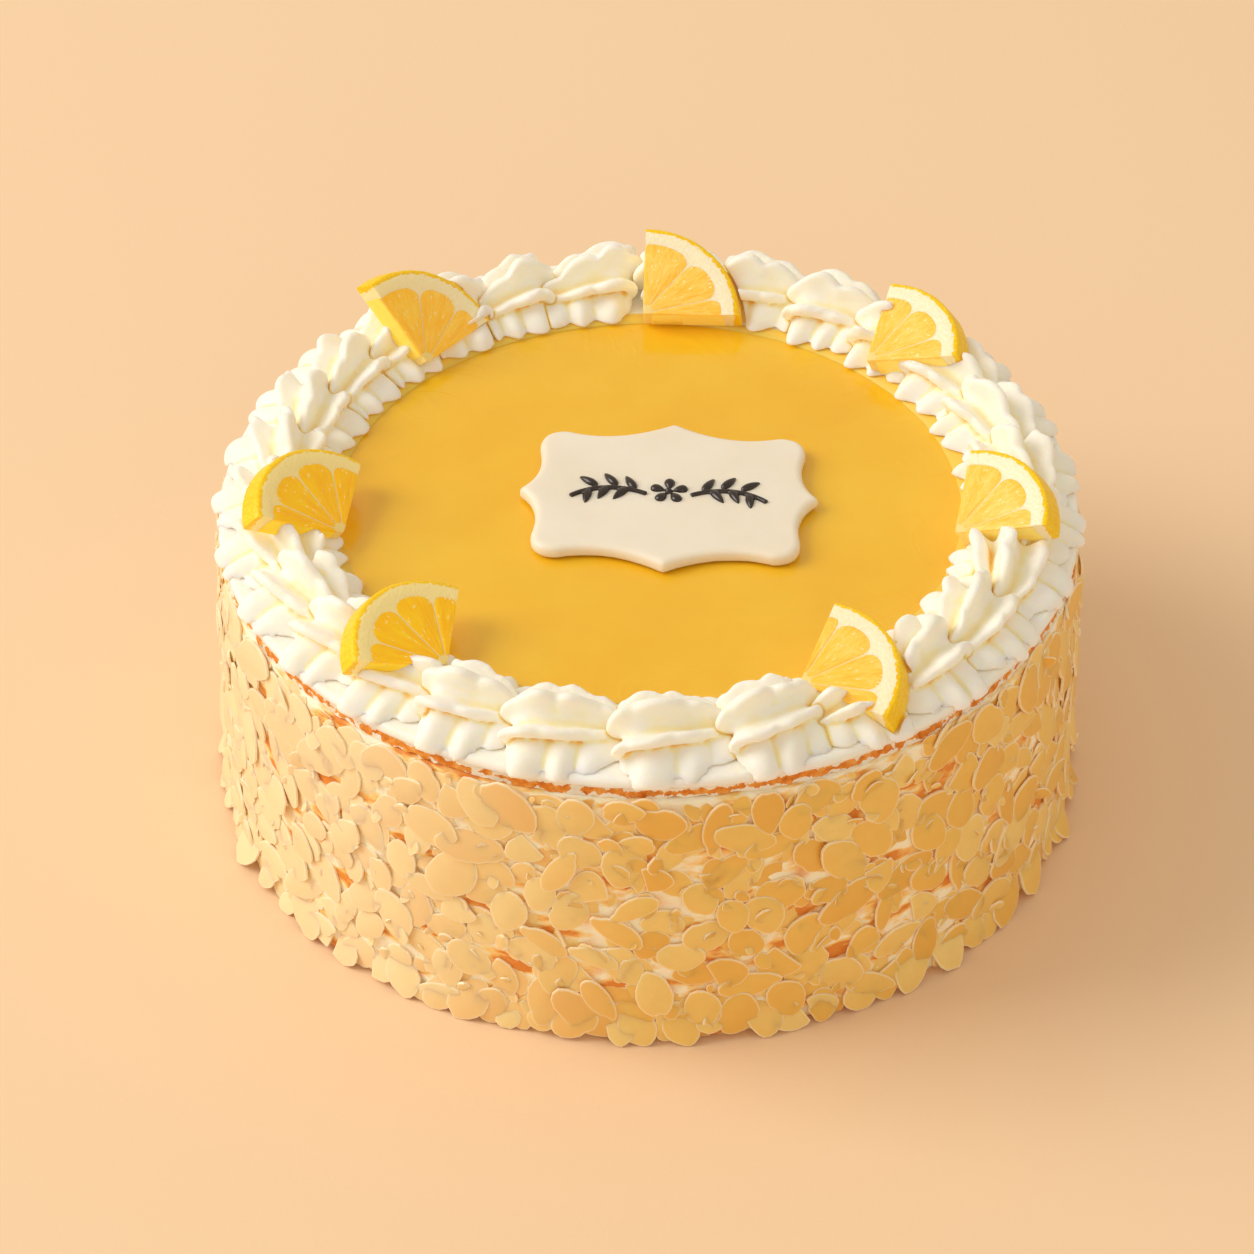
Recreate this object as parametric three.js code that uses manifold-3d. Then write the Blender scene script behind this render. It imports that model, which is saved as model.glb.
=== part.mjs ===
// Lemon cream cake: a tall round cake with flaked almonds on its side, a jelly glaze on top,
// a piped cream border, seven lemon slices and an icing plaque with a piped sprig.
// Millimetres, +Z up. The origin is the middle of the flat base that the cake rests on.
// Azimuths are in degrees, anticlockwise seen from above, and -90 is the front.
import * as THREE from 'three';
import { mergeVertices } from 'three/addons/utils/BufferGeometryUtils.js';
import Module from 'manifold-3d';

const wasm = await Module();
wasm.setup();

// Driving dimensions
const GAP = 0.3;             // clearance between neighbouring solids
const ROUND = 60;            // facets round the cake

const cake = { radius: 116, height: 89.2, lipRadius: 119.7, lipHeight: 2 };
const coat = { thickness: 3, footHeight: 0.5 };
const cream = { inner: 88, outer: 119.9, thickness: 2.4, edge: 1.3 };
const glaze = { thickness: 2.1, edge: 0.5 };

const flake = {
  count: 96, sides: 7, thickness: 1.5, sunk: 0.9, taper: 0.9,
  long: [6.6, 9.2], wide: [4.6, 6.4], roll: [0, 180], splay: [-3, 5],
};
const footFlake = { count: 26, long: 7, wide: 5.2, radius: 121.2, height: 6.8, splay: 27 };

const border = {
  radius: 103.2, halfWidth: 16.4, height: 13.2, skirt: 0.2, flute: 0.12, steps: 6, gap: 0.4,
};
// Two runs of shells start at the back and meet at the front: where each one begins and ends,
// how many shells it has, and which way round it is piped.
const runs = [
  { from: 92.4, to: 188, count: 8, turn: 1 },
  { from: 188, to: 249.6, count: 5, turn: 1 },
  { from: 249.6, to: 296.4, count: 3, turn: 1 },
  { from: 92.4, to: -63.6, count: 12, turn: -1 },
];

const slice = { radius: 28, thickness: 7.2, bevel: 0.6, flare: 0.05, bedGap: 0.35 };
// Each lemon slice: azimuth and distance of its inner corner, the azimuth and the slope that
// its cut face looks to, and the stretch of rind it keeps, all as the slice lies.
const slices = [
  { azimuth: 91, distance: 82.7, faces: -92, slope: 62, arc: [0, 90] },
  { azimuth: 136.1, distance: 87.6, faces: -40, slope: 43, arc: [0, 101] },
  { azimuth: 193, distance: 86.4, faces: -21, slope: 55, arc: [15, 127] },
  { azimuth: 235.1, distance: 95, faces: -28, slope: 62, arc: [25, 136] },
  { azimuth: 295, distance: 95.2, faces: -127, slope: 72, arc: [3, 104] },
  { azimuth: 346.7, distance: 86.7, faces: -149, slope: 61, arc: [44, 134] },
  { azimuth: 44, distance: 86.4, faces: -143, slope: 65, arc: [39, 123] },
];

const plaque = {
  x: 5.6, y: 1.6, turn: -3.3, thickness: 3.8, bevel: 0.9,
  cuspX: 42, cuspY: 32.6, cornerX: 37.4, cornerY: 27.6, cornerRadius: 7.5,
  sideWaist: 34.5, peakWaist: 22.6, peakFoot: 15.6,
};
const piping = { width: 1.6, rise: 0.9, steps: 7, sides: 6, crown: 0.55 };
const stem = [[6.2, -1.6], [11.6, 1.2], [17.6, 1.9], [23, 0.2], [27.4, -3.6]];
const leaf = { long: 6.6, wide: 2.6 };
// Each leaf: where it leaves the stem, and the way it points
const leaves = [
  [9.4, 0.6, 62], [14.6, 2, 54], [20, 1.6, 36], [11.8, 1, -56], [17.2, 1.6, -68], [22.4, 0, -84],
];
const blossom = { petals: 5, reach: 3.3, long: 4.4, wide: 3.2, heart: 2 };

// Heights that follow from them
const top = cake.height + GAP;
const creamTop = top + cream.thickness;
const glazeTop = top + glaze.thickness;
const lipBottom = cake.height - cake.lipHeight;
const coatInner = cake.radius + GAP;
const coatOuter = coatInner + coat.thickness;

// Colours and finishes
const finish = (color, roughness) => new THREE.MeshStandardMaterial({ color, roughness, metalness: 0 });
const spongeFinish = finish(0xc98a3c, 0.85);
const almondFinish = finish(0xf0cf92, 0.6);
const creamFinish = finish(0xfdf6e8, 0.45);
const glazeFinish = finish(0xf4bb45, 0.12);
const lemonFinish = finish(0xf9cf4a, 0.3);
const icingFinish = finish(0xf6ead2, 0.5);

const radians = THREE.MathUtils.degToRad;
const lerp = THREE.MathUtils.lerp;

// The same draws each time: a small seeded generator
let seed = 20;
function draw(low, high) {
  seed = (seed * 16807) % 2147483647;
  return lerp(low, high, seed / 2147483647);
}

// Closed mesh to solid and back
function solidOf(geometry) {
  const plain = geometry.clone();
  plain.deleteAttribute('normal');
  plain.deleteAttribute('uv');
  const merged = mergeVertices(plain, 1e-4);
  return new wasm.Manifold(new wasm.Mesh({
    numProp: 3,
    vertProperties: Float32Array.from(merged.attributes.position.array),
    triVerts: Uint32Array.from(merged.index.array),
  }));
}

function geometryOf(solid) {
  const mesh = solid.getMesh();
  const geometry = new THREE.BufferGeometry();
  geometry.setAttribute('position', new THREE.BufferAttribute(Float32Array.from(mesh.vertProperties), 3));
  geometry.setIndex(new THREE.BufferAttribute(Uint32Array.from(mesh.triVerts), 1));
  return geometry;
}

// The biggest body of a solid that a cut has left in several
function mainBody(solid) {
  return solid.decompose().reduce((best, body) => (body.volume() > best.volume() ? body : best));
}

const model = new THREE.Group();
function add(name, geometry, material) {
  const mesh = new THREE.Mesh(geometry, material);
  mesh.name = name;
  model.add(mesh);
  return mesh;
}

// A ring or disc from the outline of its section, radius first
function turned(outline) {
  const points = outline.map(([radius, height]) => new THREE.Vector2(radius, height));
  return new THREE.LatheGeometry(points, ROUND).rotateX(Math.PI / 2);
}

// The baked cake, whose browned rim shows as a line above the almonds
add('sponge', turned([
  [0, 0], [cake.radius, 0], [cake.radius, lipBottom], [cake.lipRadius, lipBottom],
  [cake.lipRadius, cake.height], [0, cake.height],
]), spongeFinish);

// Almond coat: a cream sleeve with flakes pressed into it
function flakeSolid(long, wide, place) {
  const disc = new THREE.CylinderGeometry(1, flake.taper, flake.thickness + flake.sunk, flake.sides);
  disc.rotateZ(-Math.PI / 2).scale(1, wide, long);
  return solidOf(disc.applyMatrix4(place));
}

// Where a flake lies: at a radius, azimuth and height, rolled in the surface and splayed outwards
function onSide(radius, azimuth, height, roll, splay) {
  return new THREE.Matrix4()
    .makeRotationZ(radians(azimuth))
    .multiply(new THREE.Matrix4().makeTranslation(radius, 0, height))
    .multiply(new THREE.Matrix4().makeRotationY(radians(splay)))
    .multiply(new THREE.Matrix4().makeRotationX(radians(roll)));
}

function almondCoat() {
  const topHeight = lipBottom - GAP;
  let body = solidOf(turned([
    [coatInner, coat.footHeight], [coatOuter, coat.footHeight],
    [coatOuter, topHeight], [coatInner, topHeight], [coatInner, coat.footHeight],
  ]));
  const goldenAngle = 137.508;
  const middle = (flake.thickness - flake.sunk) / 2;
  const lowest = footFlake.height + flake.long[1];
  const highest = topHeight - flake.long[1];
  for (let i = 0; i < flake.count; i += 1) {
    const height = lerp(lowest, highest, (i + 0.5) / flake.count);
    const roll = draw(...flake.roll);
    const place = onSide(coatOuter + middle, i * goldenAngle, height, roll, draw(...flake.splay));
    body = body.add(flakeSolid(draw(...flake.long), draw(...flake.wide), place));
  }
  for (let i = 0; i < footFlake.count; i += 1) {
    const azimuth = (360 * i) / footFlake.count;
    const place = onSide(footFlake.radius, azimuth, footFlake.height, 90, -footFlake.splay);
    body = body.add(flakeSolid(footFlake.long, footFlake.wide, place));
  }
  return mainBody(body);
}
add('almond_coat', geometryOf(almondCoat()), almondFinish);

// The cream under the border, with its rounded outer edge
add('top_cream', turned([
  [cream.inner, top], [cream.outer, top], [cream.outer, creamTop - cream.edge],
  [cream.outer - cream.edge, creamTop], [cream.inner, creamTop], [cream.inner, top],
]), creamFinish);

// The lemon jelly, a disc inside that cream
const glazeRadius = cream.inner - GAP;
add('lemon_glaze', turned([
  [0, top], [glazeRadius, top], [glazeRadius, glazeTop - glaze.edge],
  [glazeRadius - glaze.edge, glazeTop], [0, glazeTop],
]), glazeFinish);

// A quarter slice of lemon, laid with its inner corner over the glaze.
// "grow" makes the slightly larger form that clears its bed in the cream.
function sliceGeometry({ azimuth, distance, faces, slope, arc }, grow) {
  const bevel = slice.bevel;
  const radius = slice.radius + grow - bevel;
  const inset = bevel - grow;
  const [from, to] = arc.map(radians);
  const half = (to - from) / 2;
  const outline = new THREE.Shape();
  const corner = inset / Math.sin(half);
  outline.moveTo(corner * Math.cos(from + half), corner * Math.sin(from + half));
  const trim = Math.asin(inset / radius);
  outline.lineTo(radius * Math.cos(from + trim), radius * Math.sin(from + trim));
  outline.absarc(0, 0, radius, from + trim, to - trim, false);
  const body = new THREE.ExtrudeGeometry(outline, {
    depth: slice.thickness + 2 * (grow - bevel), curveSegments: 5,
    bevelEnabled: true, bevelSize: bevel, bevelThickness: bevel, bevelSegments: 1,
  });
  body.translate(0, 0, -slice.thickness - grow + bevel);
  // The rind widens a little towards the back face
  const point = body.attributes.position;
  for (let i = 0; i < point.count; i += 1) {
    const wide = 1 - slice.flare * point.getZ(i) / slice.thickness;
    point.setXY(i, point.getX(i) * wide, point.getY(i) * wide);
  }
  // Local +Z is the cut face's own direction, and local +Y runs up its slope
  body.rotateX(radians(90 - slope)).rotateZ(radians(faces + 90));
  body.translate(distance * Math.cos(radians(azimuth)), distance * Math.sin(radians(azimuth)), 0);
  return body;
}

// How high a slice sits: its lowest point just clears the glaze and the cream
function restHeight(geometry) {
  geometry.computeBoundingBox();
  return creamTop + GAP - geometry.boundingBox.min.z;
}

const sliceBeds = [];
slices.forEach((place, index) => {
  const body = sliceGeometry(place, 0);
  const height = restHeight(body);
  add(`lemon_slice_${index + 1}`, body.translate(0, 0, height), lemonFinish);
  sliceBeds.push(solidOf(sliceGeometry(place, slice.bedGap).translate(0, 0, height)));
});

// One piped shell. Its section is a star of five ridges, here from the outer skirt over the
// crest to the inner skirt, each as parts of the half width and of the height.
const ridges = [
  [0.8, 0], [1, 0.1], [0.66, 0.28], [0.5, 0.5], [0.2, 0.5], [-0.28, 1],
  [-0.54, 0.62], [-0.76, 0.54], [-0.78, 0.3], [-1, 0.1], [-0.86, 0],
];

function starSection(turn) {
  const { halfWidth, height } = border;
  return new THREE.Shape(ridges.map(([reach, rise]) => (
    new THREE.Vector2(-turn * halfWidth * reach, height * rise)
  )));
}

// How full the shell is from its round head, at 0, to its drawn-out tail, at 1
const swell = [0.62, 0.96, 1, 0.97, 0.9, 0.8, 0.6];
function fullness(t) {
  return swell[Math.round(t * border.steps)];
}

function shellGeometry(headAzimuth, length, turn) {
  const body = new THREE.ExtrudeGeometry(starSection(turn), {
    depth: 1, steps: border.steps, bevelEnabled: false,
  });
  const point = body.attributes.position;
  for (let i = 0; i < point.count; i += 1) {
    const t = point.getZ(i);
    const depth = point.getY(i) < border.height * border.skirt ? border.flute : border.flute / 4;
    const wave = 1 - depth * (1 + Math.cos(Math.PI * border.steps * t)) / 2;
    const full = fullness(t);
    const radius = border.radius - turn * point.getX(i) * full * wave;
    const azimuth = radians(headAzimuth + turn * length * t);
    point.setXYZ(i, radius * Math.cos(azimuth), radius * Math.sin(azimuth),
      creamTop + GAP + point.getY(i) * full);
  }
  return body;
}

let shellNumber = 0;
for (const { from, to, count, turn } of runs) {
  const pitch = (to - from) * turn / count;
  const space = THREE.MathUtils.radToDeg(border.gap / (border.radius - border.halfWidth));
  for (let i = 0; i < count; i += 1) {
    const head = from + turn * (i * pitch + space / 2);
    const body = sliceBeds.reduce(
      (rest, bed) => rest.subtract(bed),
      solidOf(shellGeometry(head, pitch - space, turn)),
    );
    shellNumber += 1;
    add(`cream_shell_${String(shellNumber).padStart(2, '0')}`, geometryOf(mainBody(body)), creamFinish);
  }
}

// Plaque: four round corners, four cusps and hollow curves between them
function plaqueOutline() {
  const { cuspX, cuspY, cornerX, cornerY, cornerRadius, sideWaist, peakWaist, peakFoot, bevel } = plaque;
  const outline = new THREE.Shape();
  outline.moveTo(cuspX - bevel, 0);
  const quarters = [[1, 1], [-1, 1], [-1, -1], [1, -1]];
  quarters.forEach(([sx, sy], k) => {
    const side = [sx * (cornerX - bevel), sy * (cornerY - cornerRadius)];
    const crown = [sx * (cornerX - cornerRadius), sy * (cornerY - bevel)];
    const cusp = [sx * (cuspX - bevel), 0];
    const peak = [0, sy * (cuspY - bevel)];
    const sideBend = [sx * sideWaist, sy * cornerY / 4];
    const peakBend = [sx * peakFoot, sy * peakWaist];
    const corner = [sx * (cornerX - bevel), sy * (cornerY - bevel)];
    const legs = [[sideBend, side], [corner, crown], [peakBend, peak]];
    const backLegs = [[peakBend, crown], [corner, side], [sideBend, cusp]];
    (k % 2 === 0 ? legs : backLegs).forEach(([bend, end]) => outline.quadraticCurveTo(...bend, ...end));
  });
  return outline;
}

// Piped sprig: a blossom in the middle and a leafy stem to each side of it
function stemSolid(side) {
  const path = new THREE.CatmullRomCurve3(stem.map(([x, y]) => new THREE.Vector3(side * x, y, 0)));
  const half = piping.width / 2;
  const section = new THREE.Shape();
  section.moveTo(-piping.rise, -half / 2);
  section.lineTo(-piping.rise, half / 2);
  section.lineTo(half, half);
  section.lineTo(half, -half);
  return solidOf(new THREE.ExtrudeGeometry(section, { steps: piping.steps, extrudePath: path }));
}

// A drop of chocolate, drawn out from its middle the way it points
function dropSolid(x, y, long, wide, direction) {
  const drop = new THREE.CylinderGeometry(piping.crown, 1, piping.rise * 2, piping.sides);
  drop.rotateX(Math.PI / 2).rotateZ(Math.PI / 2).scale(long / 2, wide / 2, 1);
  return solidOf(drop.rotateZ(radians(direction)).translate(x, y, 0));
}

function leafSolid([x, y, direction], side) {
  const reach = leaf.long / 2;
  const middleX = side * (x + reach * Math.cos(radians(direction)));
  const middleY = y + reach * Math.sin(radians(direction));
  return dropSolid(middleX, middleY, leaf.long, leaf.wide, side * direction);
}

function sprigSolid() {
  const { petals, reach, long, wide, heart } = blossom;
  let body = dropSolid(0, 0, heart, heart, 0);
  for (let i = 0; i < petals; i += 1) {
    const direction = 90 + (360 * i) / petals;
    const x = reach * Math.cos(radians(direction));
    const y = reach * Math.sin(radians(direction));
    body = body.add(dropSolid(x, y, long, wide, direction));
  }
  for (const side of [-1, 1]) {
    body = body.add(stemSolid(side));
    leaves.forEach((place) => { body = body.add(leafSolid(place, side)); });
  }
  return body;
}

function plaqueSolid() {
  const { thickness, bevel } = plaque;
  const slab = new THREE.ExtrudeGeometry(plaqueOutline(), {
    depth: thickness - 2 * bevel, curveSegments: 3,
    bevelEnabled: true, bevelSize: bevel, bevelThickness: bevel, bevelSegments: 1,
  });
  return mainBody(solidOf(slab.translate(0, 0, bevel - thickness)).add(sprigSolid()));
}
const plate = add('plaque', geometryOf(plaqueSolid()), icingFinish);
plate.rotation.z = radians(plaque.turn);
plate.position.set(plaque.x, plaque.y, glazeTop + GAP + plaque.thickness);

export default model;
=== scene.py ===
# %% [markdown]
# # A lemon cream cake
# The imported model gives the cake's solids at their real size. This lesson dresses them piece by
# piece: the baked cake, its coat of flaked almonds, the cream and the lemon jelly on top, the
# lemon slices, the icing plaque and the piped border. Everything is in metres, in the model's
# frame. Slices, plaque, sprig and shells are shaped in millimetres and then brought to size.

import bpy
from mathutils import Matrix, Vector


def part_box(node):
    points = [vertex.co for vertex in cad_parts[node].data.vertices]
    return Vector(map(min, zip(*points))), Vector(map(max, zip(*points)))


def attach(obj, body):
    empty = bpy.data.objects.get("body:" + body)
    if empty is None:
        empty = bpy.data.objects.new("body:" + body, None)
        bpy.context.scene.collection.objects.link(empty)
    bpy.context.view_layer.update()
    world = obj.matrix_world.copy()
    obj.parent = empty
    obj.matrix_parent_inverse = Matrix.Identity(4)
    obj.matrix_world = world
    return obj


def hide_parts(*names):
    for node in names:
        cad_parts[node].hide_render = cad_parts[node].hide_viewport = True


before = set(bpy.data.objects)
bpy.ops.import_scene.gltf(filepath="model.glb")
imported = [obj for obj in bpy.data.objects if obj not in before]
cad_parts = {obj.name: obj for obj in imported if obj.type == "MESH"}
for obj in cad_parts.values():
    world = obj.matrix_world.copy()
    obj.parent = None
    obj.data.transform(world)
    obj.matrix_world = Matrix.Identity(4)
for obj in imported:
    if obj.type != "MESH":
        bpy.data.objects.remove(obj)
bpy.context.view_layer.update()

# %% [markdown]
# The camera comes first, because every shape is judged through it. It looks down at the cake from
# the front, from far away through a long lens, so the round top keeps its proportions.

# %% Camera
import bpy
import math
import random
from mathutils import Matrix, Vector, noise
from mathutils.bvhtree import BVHTree

MM = 0.001
EYE = Vector((-0.0061, -1.4318, 1.1893))
EYE_PITCH = 51.46        # degrees up from looking straight down
EYE_LENS = 185.7         # millimetres, on a sensor 36 mm wide

bpy.ops.object.camera_add(location=EYE, rotation=(math.radians(EYE_PITCH), 0, 0))
camera = bpy.context.object
camera.name = "camera"
camera.data.lens = EYE_LENS
camera.data.sensor_width = 36
bpy.context.scene.camera = camera
print("camera", round(EYE.length, 3), "m from the origin")

# %% [markdown]
# Helpers. An operator works on whatever is selected, so each step starts from an empty selection.
# A finished piece has its place in its mesh, while its object stays at the origin.

# %% Helpers for pieces
def nothing_selected():
    if bpy.context.mode != "OBJECT":
        bpy.ops.object.mode_set(mode="OBJECT")
    bpy.ops.object.select_all(action="DESELECT")


def only(*pieces):
    """Select these pieces alone, with the first one active."""
    nothing_selected()
    for piece in pieces:
        piece.select_set(True)
    bpy.context.view_layer.objects.active = pieces[0]


def remove(*pieces):
    only(*pieces)
    bpy.ops.object.delete()


def newest(name):
    piece = bpy.context.object
    piece.name = name
    piece.data.name = name
    return piece


def joined(name, *pieces):
    only(*pieces)
    bpy.ops.object.join()
    return newest(name)


def edit(piece, select="SELECT"):
    only(piece)
    bpy.ops.object.mode_set(mode="EDIT")
    bpy.ops.mesh.select_all(action=select)


def done():
    bpy.ops.object.mode_set(mode="OBJECT")


def modify(piece, kind, **settings):
    only(piece)
    modifier = piece.modifiers.new(kind.lower(), kind)
    for key, value in settings.items():
        setattr(modifier, key, value)
    bpy.ops.object.modifier_apply(modifier=modifier.name)


def waved(piece, name, size, depth, strength, **settings):
    """Push a surface in and out by clouds of a given size."""
    texture = bpy.data.textures.new(name, "CLOUDS")
    texture.noise_scale = size
    texture.noise_depth = depth
    settings = {"mid_level": 0.5, **settings}
    modify(piece, "DISPLACE", texture=texture, strength=strength, **settings)


def fused(piece, voxel, rounds):
    """Remesh a piece as one skin, as soft stuff runs together, and round it off."""
    modify(piece, "REMESH", mode="VOXEL", voxel_size=voxel, use_smooth_shade=True)
    modify(piece, "SMOOTH", factor=0.5, iterations=rounds)

# %% Helpers for shapes
def disc(name, sides, radius, height=0.0, fill_type="NGON"):
    nothing_selected()
    bpy.ops.mesh.primitive_circle_add(
        vertices=sides, radius=radius, fill_type=fill_type, location=(0, 0, height),
    )
    return newest(name)


def drawn(name, points, fill_type="NGON"):
    """A closed outline through the given points, filled with one face unless told otherwise."""
    piece = disc(name, len(points), 1, fill_type=fill_type)
    for vertex, point in zip(piece.data.vertices, points):
        vertex.co = point
    return piece


def grow_up(height):
    bpy.ops.mesh.extrude_region_move(TRANSFORM_OT_translate={"value": (0, 0, height)})


def grow_out(factor):
    grow_up(0.0)
    bpy.ops.transform.resize(value=(factor, factor, 1), center_override=(0, 0, 0))


def unit(value):
    """A value held between 0 and 1."""
    return min(1.0, max(0.0, value))


def polar(far, angle, up=0.0):
    return far * math.cos(angle), far * math.sin(angle), up


def keep(piece, name, values, kind="FLOAT"):
    """Store a value at each point of a piece, for its finish to read."""
    stored = piece.data.attributes.new(name, kind, "POINT").data
    stored.foreach_set("value" if kind == "FLOAT" else "vector", values)


def box_of(node):
    """The lowest and the highest corner of a node's box in the model."""
    return [Vector(corner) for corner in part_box(node)]


def tidy_mesh(piece):
    edit(piece)
    bpy.ops.mesh.remove_doubles(threshold=1e-6)
    bpy.ops.mesh.normals_make_consistent(inside=False)
    done()


def smooth(piece, angle=180):
    only(piece)
    bpy.ops.object.shade_smooth_by_angle(angle=math.radians(angle))

# %% Helpers for creases
# The hollows kept here mark where the finishes paint shade into creases and narrow gaps.
def keep_hollows(piece, spread=40, full=0.55 * MM):
    """Store how deep each point lies in a hollow, measured against a smoothed copy of the piece."""
    only(piece)
    bpy.ops.object.duplicate()
    even = newest("even")
    modify(even, "SMOOTH", factor=0.5, iterations=spread)
    depths = []
    for here, there in zip(piece.data.vertices, even.data.vertices):
        depths.append(unit((there.co - here.co).dot(here.normal) / full))
    keep(piece, "hollow", depths)
    remove(even)


def keep_contacts(pieces, reach=1.0 * MM):
    """Count the narrow gap between two touching pieces as a hollow too."""
    trees = []
    for piece in pieces:
        points = [vertex.co for vertex in piece.data.vertices]
        trees.append(BVHTree.FromPolygons(points, [face.vertices for face in piece.data.polygons]))
    for number, piece in enumerate(pieces):
        hollow = piece.data.attributes["hollow"].data
        for other, tree in enumerate(trees):
            if other == number or not near(piece, pieces[other]):
                continue
            for vertex in piece.data.vertices:
                gap = tree.find_nearest(vertex.co, reach)[3]
                if gap is not None:
                    hollow[vertex.index].value = max(hollow[vertex.index].value, 1 - gap / reach)


def near(a, b, gap=0.5 * MM):
    """Whether two pieces' boxes touch."""
    boxes = []
    for piece in (a, b):
        points = [v.co for v in piece.data.vertices]
        boxes.append([(min(p[i] for p in points), max(p[i] for p in points)) for i in range(3)])
    return all(one[0] - gap < two[1] and two[0] - gap < one[1] for one, two in zip(*boxes))

# %% Helpers for finished pieces
def reshape(piece, rule):
    """Move each point of a piece to where rule(point) says."""
    for vertex in piece.data.vertices:
        vertex.co = rule(vertex.co)


def mapped_grid(name, columns, rows, place):
    """A grid whose points go where place(across, along) says, both running from 0 to 1."""
    nothing_selected()
    bpy.ops.mesh.primitive_grid_add(x_subdivisions=columns, y_subdivisions=rows, size=2)
    piece = newest(name)
    reshape(piece, lambda point: place((point.x + 1) / 2, (point.y + 1) / 2))
    return piece


def dress(piece, material, slot, *nodes):
    """Give a finished piece its material, hang it under the root and hide the model's parts that it
    replaces; the slot is not used.
    """
    only(piece)
    bpy.ops.object.transform_apply(location=True, rotation=True, scale=True)
    if material is not None:
        piece.data.materials.clear()
        piece.data.materials.append(material)
    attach(piece, "root")
    if nodes:
        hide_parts(*nodes)
    print(piece.name, len(piece.data.polygons), "faces")
    return piece

# %% [markdown]
# A finish is a small recipe of nodes round one Principled shader. Colours are written as they look
# on a screen, from 0 to 255, and turned into the light values that the shader works with.

# %% Helpers for finishes
def tint(red, green, blue):
    def light(value):
        value /= 255
        return value / 12.92 if value <= 0.04045 else ((value + 0.055) / 1.055) ** 2.4
    return (light(red), light(green), light(blue), 1.0)


class Finish:
    """One material. Its sockets are set by name; soft is how much light soaks in, how deep in mm
    and how far its green and blue reach; glow is a little light of its own, and its colour."""

    def __init__(self, name, soft=None, glow=None, **sockets):
        self.material = bpy.data.materials.new(name)
        self.material.use_nodes = True
        self.nodes = self.material.node_tree.nodes
        self.shader = self.nodes["Principled BSDF"]
        if soft:
            weight, depth, green, blue = soft
            sockets.update(subsurface_weight=weight, subsurface_scale=depth * MM,
                           subsurface_radius=(1.0, green, blue))
        if glow:
            sockets.update(emission_strength=glow[0], emission_color=tint(*glow[1:]))
        for key, value in sockets.items():
            socket = key.replace("_", " ").title().replace("Ior", "IOR")
            self.shader.inputs[socket].default_value = value

    def wire(self, source, target):
        self.material.node_tree.links.new(source, target)

    def node(self, kind, values=None, **settings):
        made = self.nodes.new("ShaderNode" + kind)
        for key, value in settings.items():
            setattr(made, key, value)
        for key, value in (values or {}).items():
            if isinstance(value, bpy.types.NodeSocket):
                self.wire(value, made.inputs[key])
            else:
                made.inputs[key].default_value = value
        return made

    def place(self):
        return self.node("TexCoord").outputs["Object"]

    def noise(self, scale, detail=2.0, vector=None, **values):
        values = {"Scale": scale, "Detail": detail, "Vector": vector or self.place(), **values}
        return self.node("TexNoise", values).outputs["Fac"]

    def cells(self, scale, vector=None, feature="F1", **values):
        values = {"Scale": scale, "Vector": vector or self.place(), **values}
        return self.node("TexVoronoi", values, feature=feature).outputs["Distance"]

    def ramp(self, fac, *stops):
        ramp = self.node("ValToRGB", {"Fac": fac})
        elements = ramp.color_ramp.elements
        while len(elements) < len(stops):
            elements.new(1.0)
        for element, (position, colour) in zip(elements, stops):
            element.position = position
            element.color = tint(*colour)
        return ramp.outputs["Color"]

    def step(self, fac, low, high):
        values = {"Value": fac, "From Min": low, "From Max": high}
        return self.node("MapRange", values).outputs["Result"]

    def sum(self, operation, a, b=0.0):
        return self.node("Math", {0: a, 1: b}, operation=operation).outputs[0]

    def times(self, a, b):
        return self.sum("MULTIPLY", a, b)

    def less(self, a, b):
        return self.sum("SUBTRACT", a, b)

    def mix(self, fac, a, b):
        a, b = (tint(*side) if isinstance(side, tuple) else side for side in (a, b))
        return self.node("Mix", {"Factor": fac, 6: a, 7: b}, data_type="RGBA").outputs[2]

    def kept(self, name, output="Fac"):
        """What the modelling stored in a piece's attribute."""
        return self.node("Attribute", attribute_name=name).outputs[output]

    def axis(self, vector, name):
        return self.node("SeparateXYZ", {"Vector": vector}).outputs[name]

    def length(self):
        """How far a point lies from the frame's origin."""
        return self.node("VectorMath", {0: self.place()}, operation="LENGTH").outputs["Value"]

    def stretched(self, vector, *scale):
        return self.node("Mapping", {"Vector": vector, "Scale": scale}).outputs["Vector"]

    def bump(self, height, strength, distance, normal=None):
        values = {"Height": height, "Strength": strength, "Distance": distance}
        if normal is not None:
            values["Normal"] = normal
        return self.node("Bump", values).outputs["Normal"]

    def grain(self, scale, detail, strength, depth):
        """Roughen the surface with noise; the depth is in millimetres."""
        self.relief(self.bump(self.noise(scale, detail), strength, depth * MM))

    def colour(self, source):
        self.wire(source, self.shader.inputs["Base Color"])

    def relief(self, source):
        self.wire(source, self.shader.inputs["Normal"])

# %% [markdown]
# The studio is a pale floor and soft light: a wide lamp high on the left and a little behind, as a
# window would be, and a warm even sky that fills the shadows.

# %% Studio
FLOOR = tint(246, 212, 172)

nothing_selected()
bpy.ops.mesh.primitive_plane_add(size=8)
floor = newest("floor")
floor_finish = Finish("floor_paper", roughness=0.8, base_color=FLOOR)
floor_finish.grain(900, 3, 0.1, 0.4)
floor.data.materials.append(floor_finish.material)


def lamp(name, place, aim, power, size, colour):
    bpy.ops.object.light_add(type="AREA", location=place)
    light = bpy.context.object
    light.name = name
    light.data.energy = power
    light.data.size = size
    light.data.color = colour
    light.rotation_euler = (Vector(aim) - Vector(place)).to_track_quat("-Z", "Y").to_euler()


lamp("window", (-3.0, 0.2, 2.3), (0, 0, 0.06), 92, 2.4, (1, 0.97, 0.92))
lamp("fill", (0.9, -3.2, 2.4), (0, 0, 0.05), 10.5, 2.2, (1, 0.86, 0.66))

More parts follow.
